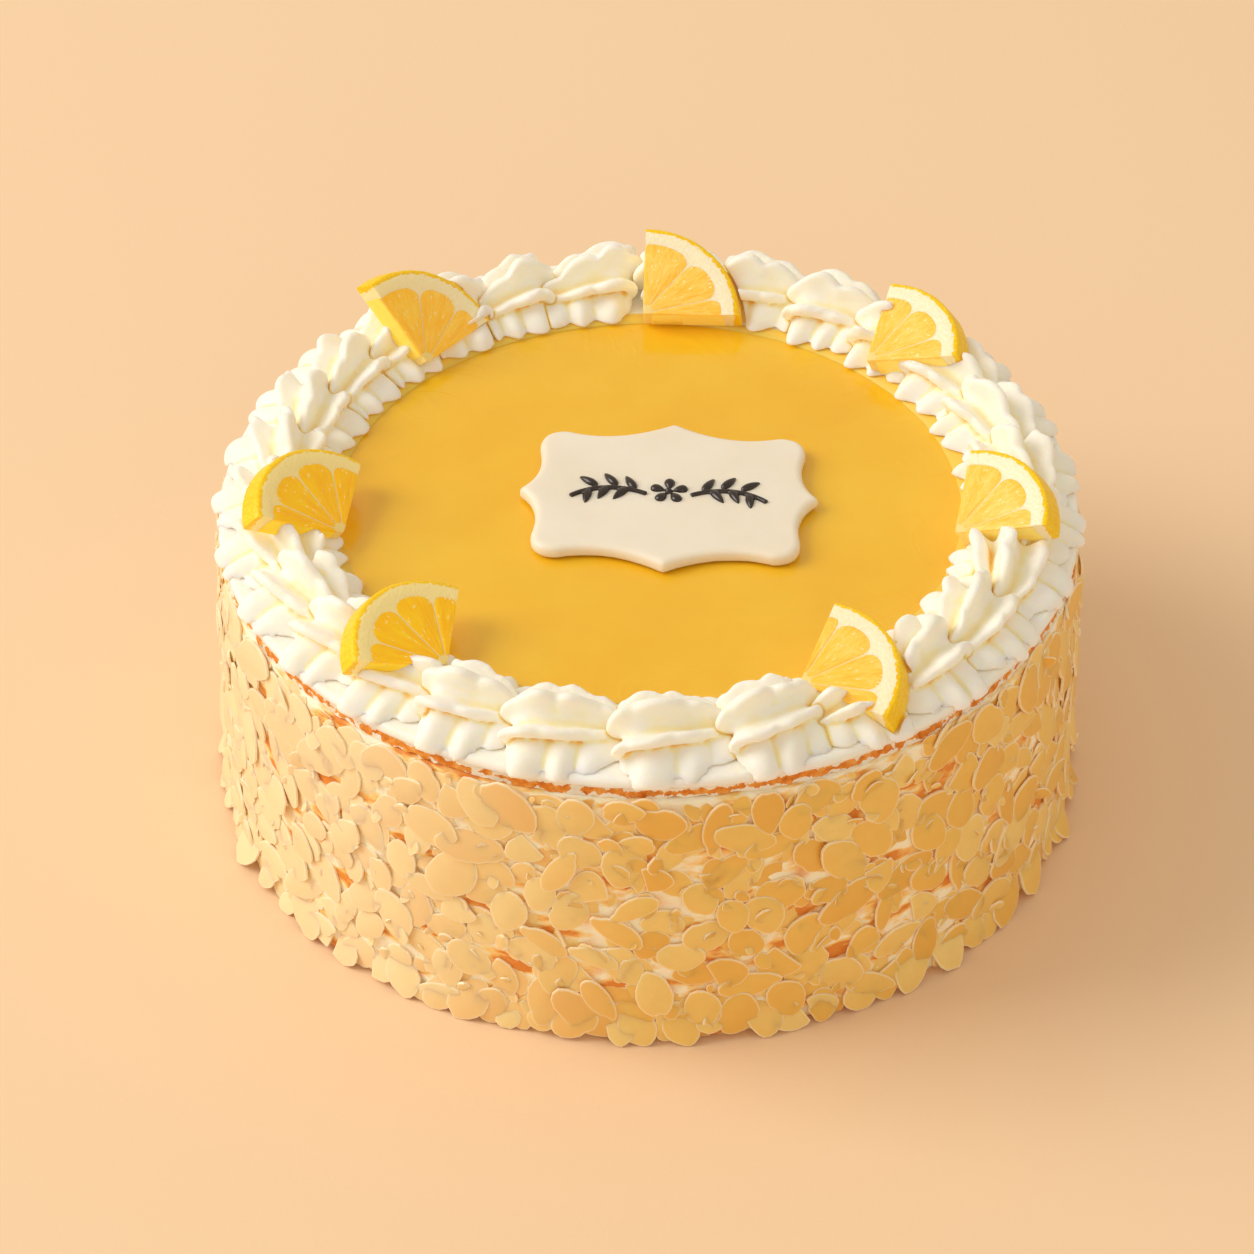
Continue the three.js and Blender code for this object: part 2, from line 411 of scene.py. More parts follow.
sky = bpy.data.worlds.new("sky")
sky.use_nodes = True
daylight = sky.node_tree.nodes["Background"].inputs
daylight["Color"].default_value = (1.0, 0.92, 0.81, 1)
daylight["Strength"].default_value = 0.62
bpy.context.scene.world = sky
bpy.context.scene.view_settings.view_transform = "Standard"

# %% [markdown]
# # The whipped cream
# Whipped cream is off-white, hardly shiny, and lets light soak in a few millimetres, which warms
# its creases. That soaking is what makes it cream and not plaster, so the shader has a soft
# subsurface, with a faint mottling on top. Its creases are also painted golden as painted shade,
# and a faint warm glow paints light into its shadows.

# %% Cream finish
def cream_finish(name, stained=None):
    """Whipped cream; nearer to the frame's origin than a given length the jelly stains it."""
    # The glow paints warm light into the cream's shadows.
    cream = Finish(
        name, soft=(0.55, 4, 0.72, 0.36), glow=(0.025, 255, 212, 140), roughness=0.5,
        specular_ior_level=0.4,
    )
    tone = cream.ramp(cream.noise(55, 3), (0.3, (253, 246, 230)), (0.7, (255, 251, 240)))
    # Painted shade: creases and gaps are painted more golden the deeper they lie.
    hollow = cream.kept("hollow")
    painted_crease_shade = cream.ramp(
        hollow, (0.0, (254, 250, 236)), (0.5, (255, 238, 188)), (1.0, (250, 200, 78)),
    )
    colour = cream.mix(cream.step(hollow, 0.05, 0.35), tone, painted_crease_shade)
    if stained:
        near_jelly = cream.step(cream.length(), stained + 0.7 * MM, stained)
        colour = cream.mix(near_jelly, colour, (255, 202, 74))
    cream.colour(colour)
    broad = cream.bump(cream.noise(160, 3), 0.35, 0.6 * MM)
    cream.relief(cream.bump(cream.noise(900, 4), 0.25, 0.2 * MM, broad))
    return cream.material


piped_cream = cream_finish("piped_cream")

# %% [markdown]
# # The cake and its browned rim
# Only the rim of the baked cake shows, as a ragged brown line under the cream. The cake is made
# from a disc that is extruded up, out to the rim and in again. The rim's rings are then cut finely
# and shaken by a displacement, so that the line frays as crust does.

# %% Baked cake
cake_high = box_of("sponge")[1]
CAKE_R = 116 * MM
RIM_R = cake_high.x
RIM_LOW = cake_high.z - 3.6 * MM
ROUND = 512

cake = disc("baked_cake", ROUND, CAKE_R)
print("rim", round(RIM_R, 4), "from", round(RIM_LOW, 4), "to", round(cake_high.z, 4))

edit(cake)
grow_up(RIM_LOW)
grow_out((RIM_R - 0.3 * MM) / CAKE_R)
for _ in range(4):
    grow_up((cake_high.z - RIM_LOW) / 4)
done()
tidy_mesh(cake)
rim_only = cake.vertex_groups.new(name="rim")
in_rim = [v.index for v in cake.data.vertices if v.co.z > RIM_LOW - 0.1 * MM]
rim_only.add(in_rim, 1.0, "REPLACE")
waved(cake, "crust_ragged", 2.4 * MM, 4, 2.2 * MM, mid_level=0.6, vertex_group="rim")
smooth(cake, 60)

# %% Crust finish
crust = Finish("browned_crust", soft=(0.15, 1, 0.2, 0.1), roughness=0.7)
browned = crust.ramp(
    crust.noise(420, 4), (0.3, (206, 108, 20)), (0.5, (238, 146, 42)), (0.72, (250, 188, 100)),
)
# Cream is smeared over the rim's two edges, in spots that reach into it
RIM_MIDDLE = (RIM_LOW + cake_high.z) / 2
height = crust.axis(crust.place(), "Z")
from_middle = crust.sum("ABSOLUTE", crust.less(height, RIM_MIDDLE))
uneven = crust.times(crust.noise(330, 4), 4.5)
reached = crust.sum("ADD", crust.step(from_middle, 0.0, cake_high.z - RIM_MIDDLE), uneven)
crust.colour(crust.mix(crust.step(reached, 2.75, 2.85), browned, (252, 243, 226)))
crust.grain(1400, 4, 0.7, 0.5)
dress(cake, crust.material, "sponge", "sponge")

# %% [markdown]
# # Cream under the almonds and under the border
# The side is spread with cream before the flakes go on, and the top carries a ring of cream whose
# round outer edge shows under the piping. Both are spun sections: the side a sleeve, the top a
# ring that reaches a little over the jelly's edge.

# %% Spread cream
coat_low = box_of("almond_coat")[0]
COAT_R = 119.8 * MM
top_low, top_high = box_of("top_cream")
RING_INNER = 87.2 * MM
RING_OUTER = top_high.x


def spun(name, section, steps=ROUND):
    """Spin a closed section, given as radius and height, once round the cake's axis."""
    ring = drawn(name, [(radius, 0, height) for radius, height in section], "NOTHING")
    edit(ring)
    bpy.ops.mesh.spin(steps=steps, angle=2 * math.pi, center=(0, 0, 0), axis=(0, 0, 1))
    done()
    tidy_mesh(ring)
    return ring


def round_section(inner, outer, low, high, edge, points=6):
    """A rectangle with a rounded upper outer corner, from the inner foot round to the inner top."""
    corner = []
    for i in range(points + 1):
        angle = math.pi / 2 * i / points
        corner.append((outer - edge + edge * math.cos(angle), high - edge + edge * math.sin(angle)))
    middle = (low + high - edge) / 2
    top = [(outer - edge - (outer - inner - edge) * k / 6, high) for k in range(1, 7)]
    return [(inner, low), (outer, low), (outer, middle)] + corner + top


SIDE_ROWS = 44
COAT_INNER = COAT_R - 2.5 * MM
COAT_LOW = coat_low.z + 0.8 * MM
COAT_HIGH = RIM_LOW - 0.2 * MM
levels = [COAT_LOW + (COAT_HIGH - COAT_LOW) * k / SIDE_ROWS for k in range(SIDE_ROWS + 1)]
side_section = [(COAT_R, level) for level in levels]
side_section = [(COAT_INNER, COAT_LOW)] + side_section + [(COAT_INNER, COAT_HIGH)]
side_cream = spun("side_cream", side_section, 400)
waved(side_cream, "spread_waves", 9 * MM, 3, 1.5 * MM)
keep_hollows(side_cream, 30, 0.4 * MM)
smooth(side_cream)

ring_section = round_section(RING_INNER, RING_OUTER, top_low.z, top_high.z, 1.6 * MM)
top_cream = spun("top_cream_ring", ring_section)
waved(top_cream, "ring_waves", 12 * MM, 2, 0.7 * MM)
keep_hollows(top_cream)
smooth(top_cream)
dress(top_cream, cream_finish("ring_cream", 129.5 * MM), "cream", "top_cream")

# %% Side cream finish
# The glow paints orange light into the shaded gaps between the flakes.
spread = Finish("spread_cream", soft=(0.4, 3, 0.2, 0.1), glow=(0.08, 255, 184, 88), roughness=0.6)
# Orange-brown streaks in the gaps: partly crumbs of crust, partly painted shade.
patch = spread.noise(60, 4, spread.stretched(spread.place(), 1, 1, 2.6))
crumbs_and_painted_shade = spread.ramp(
    patch, (0.47, (255, 244, 220)), (0.54, (250, 206, 124)), (0.6, (222, 128, 34)),
)
# Hollows are painted orange, as painted shade.
spread.colour(spread.mix(spread.kept("hollow"), crumbs_and_painted_shade, (236, 158, 56)))
spread.grain(600, 4, 0.5, 0.6)
dress(side_cream, spread.material, "almond", "almond_coat")

# %% [markdown]
# # Flaked almonds
# Each flake is a thin slice of a nut: an oval with a pointed end and a flat face, and some are
# broken; its rim is painted pale, as a painted highlight on its edges. A few shapes are modelled
# from a disc that is stretched, extruded and inset, and two are broken off with a bisect. They are
# pressed on in layers, small ones below, larger ones over them, then crumbs, and last a row that
# leans out at the foot, so that they overlap as on the cake. All of them become one mesh, and two
# attributes keep what the finish needs: the tone of the nut and how near a point is to the rim.

# %% Flake shapes
FLAKE_SIDES = 18
FLAKE_THICK = 0.65 * MM


def flake_shape(name, long, wide, taper, seed, broken=None):
    """A flake with half lengths in mm, narrower towards +X; broken cuts it off at a place on X."""
    flake = disc(name, FLAKE_SIDES, 1 * MM)
    draw = random.Random(seed)
    two, three, chip = draw.uniform(0, 6), draw.uniform(0, 6), draw.randrange(FLAKE_SIDES)
    for vertex in flake.data.vertices:
        angle = math.atan2(vertex.co.y, vertex.co.x)
        uneven = 1 + 0.05 * math.sin(2 * angle + two) + 0.04 * math.sin(3 * angle + three)
        uneven += draw.uniform(-0.025, 0.025) - (0.09 if vertex.index == chip else 0)
        part = math.cos(angle)
        vertex.co.x *= long * uneven
        vertex.co.y *= wide * uneven * (1 - taper * max(0.0, part) ** 2)
        vertex.co.z += (0.4 * part * part + draw.uniform(-0.1, 0.1)) * MM
    edit(flake)
    if broken is not None:
        bpy.ops.mesh.bisect(plane_co=(broken * MM, 0, 0), plane_no=(1, 0.35, 0), clear_outer=True)
        bpy.ops.mesh.select_all(action="SELECT")
    grow_up(FLAKE_THICK)
    bpy.ops.mesh.inset(thickness=0.6 * MM, depth=0.16 * MM)
    done()
    inner = {v for face in flake.data.polygons if face.select for v in face.vertices}
    keep(flake, "rim", [0.0 if v.index in inner else 1.0 for v in flake.data.vertices])
    return flake


# Half lengths in mm, how much it narrows, and where it is broken off
FLAKE_KINDS = {
    "long": (9.6, 5.4, 0.3, None), "oval": (7.6, 5.6, 0.2, None), "round": (6.2, 5.5, 0.1, None),
    "slim": (7.8, 3.8, 0.3, None), "small": (4.6, 3.6, 0.2, None), "broken": (7.4, 5.0, 0.2, 2.5),
    "chip": (5.2, 3.4, 0.2, 0.5), "wide": (8.4, 6.5, 0.25, None), "plump": (6.8, 4.8, 0.3, None),
    "bit": (2.8, 1.9, 0.2, None),
}
FLAKES = []
for seed, (kind, (long, wide, taper, broken)) in enumerate(FLAKE_KINDS.items(), 1):
    FLAKES.append(flake_shape(f"flake_{kind}", long, wide, taper, seed, broken))
print("flake shapes of", [len(flake.data.polygons) for flake in FLAKES], "faces")

# %% Pressing them on
def on_side(azimuth, height, radius, roll, lean, yaw, size):
    """A place on the cake's side: the flake's flat face looks out and leans up by an angle."""
    return (Matrix.Rotation(azimuth, 4, "Z") @ Matrix.Translation((radius, 0, height))
            @ Matrix.Rotation(yaw, 4, "Z") @ Matrix.Rotation(math.radians(90) - lean, 4, "Y")
            @ Matrix.Rotation(roll, 4, "Z") @ Matrix.Scale(size, 4))


def between(flake, matrix, low, high):
    """Slide a placed flake up or down until it lies between two heights."""
    heights = [(matrix @ vertex.co).z for vertex in flake.data.vertices]
    slide = min(0.0, high - max(heights)) or max(0.0, low - min(heights))
    return Matrix.Translation((0, 0, slide)) @ matrix


SIDE_LOW, SIDE_HIGH = 3 * MM, 87 * MM
GOLDEN_ANGLE = math.radians(137.508)
# How far each flake may lie off its even place, along and up
ASIDE, ABOVE = 2.2 * MM, 2.6 * MM
# How far the topmost flakes may reach past the coat, as one of these
PAST_TOP = (-1.5, 0, 0, 0.4, 1.6)


def press_on(draw, count, shapes, radii, lean, first, sizes):
    """Spread flakes evenly over the side, each one a little off its even place."""
    pressed = []
    for i in range(count):
        azimuth = first + i * GOLDEN_ANGLE + draw.uniform(-ASIDE, ASIDE) / COAT_R
        height = SIDE_LOW + (SIDE_HIGH - SIDE_LOW) * (i + 0.5) / count + draw.uniform(-ABOVE, ABOVE)
        shape = draw.choice(shapes)
        roll, size = draw.uniform(0, 2 * math.pi), draw.uniform(*sizes)
        radius = draw.uniform(*radii) * MM
        leans = math.radians(draw.gauss(1, lean / 2))
        yaw = math.radians(draw.gauss(0, lean / 2))
        matrix = on_side(azimuth, height, radius, roll, leans, yaw, size)
        highest = COAT_HIGH + draw.choice(PAST_TOP) * MM
        matrix = between(FLAKES[shape], matrix, 0.4 * MM, highest)
        pressed.append((shape, matrix, draw.random()))
    return pressed


def gathered(name, shapes, places):
    """One mesh from many copies of a few shapes, with each copy's tone kept in an attribute."""
    points, faces, tones, rims = [], [], [], []
    for shape, matrix, tone in places:
        source = shapes[shape].data
        start = len(points)
        points.extend(matrix @ vertex.co for vertex in source.vertices)
        faces.extend([start + k for k in face.vertices] for face in source.polygons)
        tones.extend([tone] * len(source.vertices))
        rims.extend(item.value for item in source.attributes["rim"].data)
    mesh = bpy.data.meshes.new(name)
    mesh.from_pydata(points, [], faces)
    piece = bpy.data.objects.new(name, mesh)
    bpy.context.collection.objects.link(piece)
    keep(piece, "tone", tones)
    keep(piece, "rim", rims)
    return piece

# %% Layers of flakes
# From the cream outwards: how many flakes, of which shapes, how far out in mm, how much they lean
# in degrees, where the first one lies, and their sizes
LAYERS = [
    (520, (3, 4, 4, 5, 6, 6, 8), (118.9, 119.6), 9, 0.0, (0.82, 1.12)),
    (400, (9, 9, 6), (119.2, 120.2), 24, 2.3, (0.82, 1.12)),
    (520, (0, 1, 1, 2, 3, 5, 7, 8), (119.6, 120.6), 7, 1.1, (0.82, 1.12)),
    (420, (8, 9, 9), (120.0, 120.7), 40, 3.4, (0.28, 0.6)),
]
FOOT_COUNT, FOOT_R = 76, 120.5 * MM

draw = random.Random(21)
pressed = []
for layer in LAYERS:
    pressed += press_on(draw, *layer)
for i in range(FOOT_COUNT):
    azimuth = math.radians(360 / FOOT_COUNT * (i + draw.uniform(-0.4, 0.4)))
    shape = draw.choice((1, 2, 4, 5, 7))
    roll, size = draw.uniform(0, 2 * math.pi), draw.uniform(0.75, 1.0)
    lean = math.radians(draw.uniform(8, 26))
    matrix = on_side(azimuth, draw.uniform(2, 7) * MM, FOOT_R, roll, lean, 0, size)
    matrix = between(FLAKES[shape], matrix, 0.2 * MM, COAT_HIGH)
    pressed.append((shape, matrix, draw.random()))
almonds = gathered("flaked_almonds", FLAKES, pressed)
remove(*FLAKES)
tidy_mesh(almonds)
smooth(almonds, 40)
outermost = max(vertex.co.xy.length for vertex in almonds.data.vertices)
print(len(pressed), "flakes, outermost", round(outermost, 4))

# %% Almond finish
# The glow paints orange light into the shaded gaps and edges of the flakes.
nut = Finish("flaked_almond", soft=(0.3, 1.5, 0.7, 0.35), glow=(0.03, 255, 150, 40),
             roughness=0.42, coat_weight=0.2, coat_roughness=0.3)
nut_tone = nut.ramp(
    nut.kept("tone"), (0.0, (240, 188, 84)), (0.5, (248, 204, 102)), (1.0, (253, 224, 142)),
)
nut_tone = nut.mix(nut.times(nut.noise(240, 3), 0.35), nut_tone, (230, 166, 64))
# The flakes on the cake's left side are painted paler, as painted light from the window lamp there
left = nut.step(nut.axis(nut.place(), "X"), 0.0, -0.08)
nut_tone = nut.mix(nut.times(left, 0.55), nut_tone, (255, 241, 212))
# The rims are painted pale, as a painted highlight on the flakes' edges.
rim = nut.times(nut.sum("POWER", nut.kept("rim"), 1.6), 0.85)
nut.colour(nut.mix(rim, nut_tone, (255, 243, 214)))
nut.grain(1100, 3, 0.2, 0.2)
dress(almonds, nut.material, "almond", "almond_coat")

# %% [markdown]
# # Lemon jelly
# The jelly is poured, so it is level in the middle and creeps up wherever it touches something. A
# disc is inset ring by ring, its rim is lifted a hair, and slow waves are added. Its finish is
# glossy and lets light in, so it glows amber.

# %% Jelly
jelly_low, jelly_high = box_of("lemon_glaze")
jelly = disc("lemon_jelly", 256, jelly_high.x, jelly_low.z)
edit(jelly)
grow_up(jelly_high.z - jelly_low.z)
bpy.ops.mesh.inset(thickness=0.6 * MM, depth=-0.25 * MM)
for _ in range(28):
    bpy.ops.mesh.inset(thickness=3 * MM)
bpy.ops.mesh.poke()
done()
tidy_mesh(jelly)
smooth(jelly, 50)

# %% Jelly finish
amber = Finish("lemon_jelly", soft=(0.3, 3, 0.55, 0.12), roughness=0.2, coat_weight=0.3,
               coat_roughness=0.06)
amber.colour(amber.ramp(amber.noise(28, 4), (0.3, (247, 186, 24)), (0.7, (251, 197, 42))))
# Fine wrinkles where the jelly was smoothed towards the border
swirl = amber.noise(26, 3, Distortion=1.6)
creased = amber.sum("ABSOLUTE", amber.less(swirl, 0.5))
wrinkle = amber.less(1.0, amber.step(creased, 0.0, 0.045))
# The length also counts the jelly's height above the floor, 92 mm
near_border = amber.step(amber.length(), 0.112, 0.124)
waves = amber.bump(amber.noise(18, 2), 0.3, 2 * MM)
waves = amber.bump(amber.noise(160, 3), 0.08, 0.6 * MM, waves)
wrinkle = amber.times(wrinkle, near_border)
amber.relief(amber.bump(wrinkle, 0.2, 0.5 * MM, waves))
dress(jelly, amber.material, "glaze", "lemon_glaze")

# %% [markdown]
# # Lemon slices
# A slice is a quarter of a thick round of lemon. Its rind is a section of peel and pith, drawn once
# as a face and spun along the arc that the slice keeps. The pulp is a fan of separate segments, so
# that the thin pale membranes show in the gaps between them, as in the fruit. Each segment starts
# as a grid, is shaped into a wedge with a round end, and is extruded through the slice.

# %% Slice dimensions
SLICE_DEEP = 7.2               # mm
SLICE_FLARE = 0.05             # how much wider its back is
PULP_R = 22.7                  # mm
PEEL_FROM = 26                 # mm, where the peel's pores begin
SEGMENT = 37                   # degrees
# Azimuth and distance of the inner corner, where the cut face looks, its slope, the arc that is
# kept, and the angle of the first membrane
SLICES = [
    (91, 82.7, -92, 62, 0, 90, 14), (136.1, 87.6, -40, 43, 0, 95, 22),
    (193, 86.4, -21, 55, 15, 127, 37), (235.1, 95, -28, 62, 25, 136, 44),
    (295, 95.2, -127, 72, 3, 104, 20), (346.7, 86.7, -149, 61, 44, 134, 62),
    (44, 86.4, -143, 65, 39, 123, 58),
]
# The rind's section: distance from the hub and depth below the cut face, in mm
RIND = [
    (0.3, -0.2), (1.6, 0), (3.0, -0.15), (4.4, -0.2), (9, -0.2), (14, -0.2), (19, -0.2),
    (22.4, -0.18), (23.1, -0.06), (23.8, 0.02), (25.2, 0.05), (26.5, 0), (27.1, -0.08),
    (27.6, -0.3), (27.9, -0.8), (28.1, -2), (28.4, -3.6), (28.7, -5.2), (28.9, -6.3),
    (28.8, -6.8), (28.3, -7.1), (27.4, -7.2), (24, -7.2), (23.2, -6.8), (14, -6.8), (4.4, -6.8),
    (0.3, -6.8),
]
# The hollow that a slice presses into the cream: its own section, a hair larger
BED = [(0.2, 0.2), (28.3, 0.2), (28.3, -7.4), (0.2, -7.4)]

# %% Rind and pulp
def local_polar(piece):
    """Keep each point's own place in the slice: along the arc at 20 mm, from the hub, and depth."""
    places = []
    for vertex in piece.data.vertices:
        angle = math.atan2(vertex.co.y, vertex.co.x)
        places += [angle * 20, vertex.co.xy.length, vertex.co.z]
    keep(piece, "polar", places, "FLOAT_VECTOR")


def spun_slice(name, section, start, end, steps):
    """A section, as distance from the hub and depth, spun through the arc that a slice keeps."""
    turn, arc = math.radians(start), math.radians(end - start)
    body = drawn(name, [polar(far, turn, depth) for far, depth in section])
    edit(body)
    bpy.ops.mesh.spin(steps=steps, angle=-arc, center=(0, 0, 0), axis=(0, 0, 1))
    bpy.ops.mesh.select_all(action="SELECT")
    bpy.ops.mesh.remove_doubles(threshold=1e-4)
    bpy.ops.mesh.fill_holes(sides=0)
    bpy.ops.mesh.normals_make_consistent(inside=False)
    done()
    return body


def rind_piece(name, start, end, seed):
    rind = spun_slice(name, RIND, start, end, 72)
    local_polar(rind)
    for vertex in rind.data.vertices:
        if vertex.co.xy.length > PEEL_FROM:
            pore = noise.noise(vertex.co * 0.9 + Vector((seed * 9, 0, 0)))
            vertex.co.xy *= 1 + 0.005 * (pore - 2.4)
    return rind


def segment_piece(name, start, end, cut_start, cut_end, seed):
    """One wedge of pulp. A cut side lies bare in the slice's flank, the others in membranes."""
    bare, membrane, bend = -0.12, 0.16, 4.2
    gap_start = bare if cut_start else membrane - 0.01
    gap_end = bare if cut_end else membrane + 0.01
    first, last = math.radians(start), math.radians(end)
    nearest = max(2.4, (gap_start + gap_end + 0.5) / (last - first))
    draw = random.Random(seed)
    bulge = draw.uniform(0.15, 0.3)

    def placed(across, outward):
        far = nearest + (PULP_R - nearest) * outward
        low = first + math.asin(gap_start / far)
        high = last - math.asin(gap_end / far)
        middle = (low + high) / 2
        shrink = math.sqrt(max(0.0, 1 - max(0.0, (far - PULP_R + bend) / bend) ** 2.4))
        if not cut_start:
            low = middle + (low - middle) * shrink
        if not cut_end:
            high = middle + (high - middle) * shrink
        angle = low + (high - low) * across
        side = abs(2 * across - 1)
        height = bulge + 0.1 * noise.noise(Vector((angle * 14, far * 0.35, seed)))
        height = height * (1 - side ** 5) * (1 - (2 * outward - 1) ** 8) - 0.22
        return polar(far, angle, height)

    segment = mapped_grid(name, 22, 40, placed)
    edit(segment)
    grow_up(-SLICE_DEEP)
    done()
    for vertex in segment.data.vertices:
        if vertex.co.z < -SLICE_DEEP / 2:
            vertex.co.z = -2 * SLICE_DEEP - vertex.co.z
    local_polar(segment)
    return segment

# %% [markdown]
# A slice is shaped flat at the origin. Then its back is flared, it is tipped to its slope, turned
# to where it looks, and set down so that its lowest point is where the model has it.

# %% Slices
def tipped(faces, slope):
    """Turns a flat slice to where its cut face looks, at its slope."""
    turn, tilt = math.radians(faces + 90), math.radians(90 - slope)
    return Matrix.Rotation(turn, 3, "Z") @ Matrix.Rotation(tilt, 3, "X")


def set_down(pieces, number, azimuth, distance, faces, slope):
    lowest = box_of(f"lemon_slice_{number}")[0].z
    tip = tipped(faces, slope)
    for piece in pieces:
        for vertex in piece.data.vertices:
            if piece is not pieces[0]:
                vertex.co.xy *= 1 - SLICE_FLARE * vertex.co.z / SLICE_DEEP
            vertex.co = tip @ vertex.co * MM
    rise = lowest - min(v.co.z for v in pieces[0].data.vertices)
    place = Vector(polar(distance * MM, math.radians(azimuth), rise))
    for piece in pieces:
        reshape(piece, lambda point: point + place)
    return place


rinds, pulps, beds, hubs = [], [], [], []
for number, (azimuth, distance, faces, slope, start, end, first) in enumerate(SLICES, 1):
    rind = rind_piece(f"lemon_rind_{number}", start, end, number)
    membranes = [first + SEGMENT * k for k in range(4)]
    edges = [start] + [angle for angle in membranes if start + 4 < angle < end - 4] + [end]
    parts = [
        segment_piece(f"segment_{k}", low, high, k == 0, k == len(edges) - 2, number * 10 + k)
        for k, (low, high) in enumerate(zip(edges, edges[1:]))
    ]
    pulp = joined(f"lemon_pulp_{number}", *parts)
    bed = spun_slice(f"slice_bed_{number}", BED, start - 0.6, end + 0.6, 24)
    hubs.append(set_down([rind, pulp, bed], number, azimuth, distance, faces, slope))
    beds.append(bed)
    for piece in (rind, pulp):
        tidy_mesh(piece)
        smooth(piece, 50)
    rinds.append(rind)
    pulps.append(pulp)
    print("slice", number, "has", len(parts), "segments")

# %% Lemon finishes
def left_glow(finish):
    """1 at the cake's left front, where light passes through the slices, 0 at its right back."""
    values = {0: finish.place(), 1: (1, 0.6, 0)}
    towards = finish.node("VectorMath", values, operation="DOT_PRODUCT")
    return finish.step(towards.outputs["Value"], 0.02, -0.07)


# The glow paints the light that passes through the peel.
peel = Finish("lemon_peel", soft=(0.3, 3, 0.75, 0.4), glow=(0.05, 255, 208, 40), roughness=0.36,
              specular_ior_level=0.35)
own = peel.kept("polar", "Vector")
from_hub = peel.axis(own, "Y")
# The peel's inner edge is scalloped by its oil glands
edge_of_peel = peel.less(from_hub, peel.times(peel.cells(0.85, own), 1.5))
pith = peel.ramp(peel.noise(0.9, 3, own), (0.3, (253, 236, 196)), (0.7, (254, 244, 216)))
pith = peel.mix(left_glow(peel), pith, (255, 232, 160))
inside = peel.mix(peel.step(from_hub, 20.5, 16.0), pith, (255, 226, 146))
pore = peel.cells(1.15, own)
outside = peel.ramp(pore, (0.1, (255, 217, 44)), (0.4, (255, 207, 8)), (0.8, (252, 195, 0)))
peel.colour(peel.mix(peel.step(edge_of_peel, 25.5, 25.8), inside, outside))
peel.relief(peel.bump(pore, 0.4, 0.4 * MM))

# The glow paints the light that passes through the pulp from behind.
flesh = Finish("lemon_pulp", soft=(0.3, 2, 0.62, 0.2), glow=(0.13, 255, 186, 20), roughness=0.25,
               specular_ior_level=0.3, coat_weight=0.08, coat_roughness=0.06)
own = flesh.kept("polar", "Vector")
# Juice sacs are drawn out from the hub, each with a thin skin
drawn_out = flesh.stretched(own, 0.75, 0.2, 0.4)
sac = flesh.cells(1.0, drawn_out, "DISTANCE_TO_EDGE")
skin = flesh.ramp(sac, (0.0, (255, 255, 255)), (0.09, (0, 0, 0)))
cloud = flesh.noise(0.5, 3, drawn_out)
# Painted light: pale is the pulp as lit on the right, deep the pulp in shade on the left with light
# passing through.
pale = flesh.ramp(cloud, (0.3, (255, 188, 58)), (0.5, (255, 199, 78)), (0.72, (255, 212, 112)))
deep = flesh.ramp(cloud, (0.3, (248, 180, 0)), (0.5, (252, 192, 2)), (0.72, (255, 206, 12)))
left = left_glow(flesh)
pale = flesh.mix(flesh.times(skin, 0.4), pale, (255, 232, 150))
pulp_tone = flesh.mix(left, pale, deep)
# The flanks face away from the lamps and are painted paler, as painted light passing through the
# pulp
flank = flesh.times(flesh.step(flesh.axis(own, "Z"), -0.3, -1.2), 0.95)
flank_painted_light = flesh.mix(left, (255, 238, 142), (255, 226, 60))
pulp_tone = flesh.mix(flank, pulp_tone, flank_painted_light)
# Small painted glints of wet highlight, in patches
painted_glint = flesh.step(flesh.cells(1.0, flesh.stretched(own, 1.0, 0.34, 0.6)), 0.22, 0.12)
here = flesh.step(flesh.noise(0.35, 2, own), 0.5, 0.56)
flesh.colour(flesh.mix(flesh.times(painted_glint, here), pulp_tone, (255, 242, 196)))
flesh.relief(flesh.bump(sac, 0.3, 0.5 * MM))
for number, (rind, pulp) in enumerate(zip(rinds, pulps), 1):
    dress(rind, peel.material, "lemon", f"lemon_slice_{number}")
    dress(pulp, flesh.material, "lemon", f"lemon_slice_{number}")

# %% [markdown]
# # Icing plaque
# The plaque is poured sugar icing: flat, with a soft round edge. Its outline has four round
# corners, four cusps and hollow curves between them. The outline is worked out once, filled,
# extruded to its thickness and rounded with a bevel. A remesh then gives it an even skin, which a
# little smoothing and slow waves turn into something poured.

# %% Plaque
# All in mm, and the turn in degrees
PLAQUE_AT, PLAQUE_TURN, PLAQUE_THICK = (5.6, 1.6), -3.3, 3.8
CUSP, CORNER, CORNER_R = (42, 32.6), (37.4, 27.6), 7.5
SIDE_WAIST, PEAK_WAIST, PEAK_FOOT = 34.5, 22.6, 15.6
EDGE_ROUND = 1.7


def bowed(a, b, c, steps=9):
    """Points of a curve from a to c that bends towards b, without its first point."""
    points = []
    for k in range(1, steps + 1):
        t = k / steps
        near_a, near_b, near_c = (1 - t) ** 2, 2 * t * (1 - t), t * t
        points.append(tuple(near_a * a[i] + near_b * b[i] + near_c * c[i] for i in (0, 1)))
    return points


def plaque_outline():
    side = (CORNER[0], CORNER[1] - CORNER_R)
    crown = (CORNER[0] - CORNER_R, CORNER[1])
    quarter_line = bowed((CUSP[0], 0), (SIDE_WAIST, CORNER[1] / 4), side)
    quarter_line += bowed(side, CORNER, crown)
    quarter_line += bowed(crown, (PEAK_FOOT, PEAK_WAIST), (0, CUSP[1]))
    whole = quarter_line + [(-x, y) for x, y in reversed(quarter_line[:-1])] + [(-CUSP[0], 0)]
    return whole + [(-x, -y) for x, y in whole]


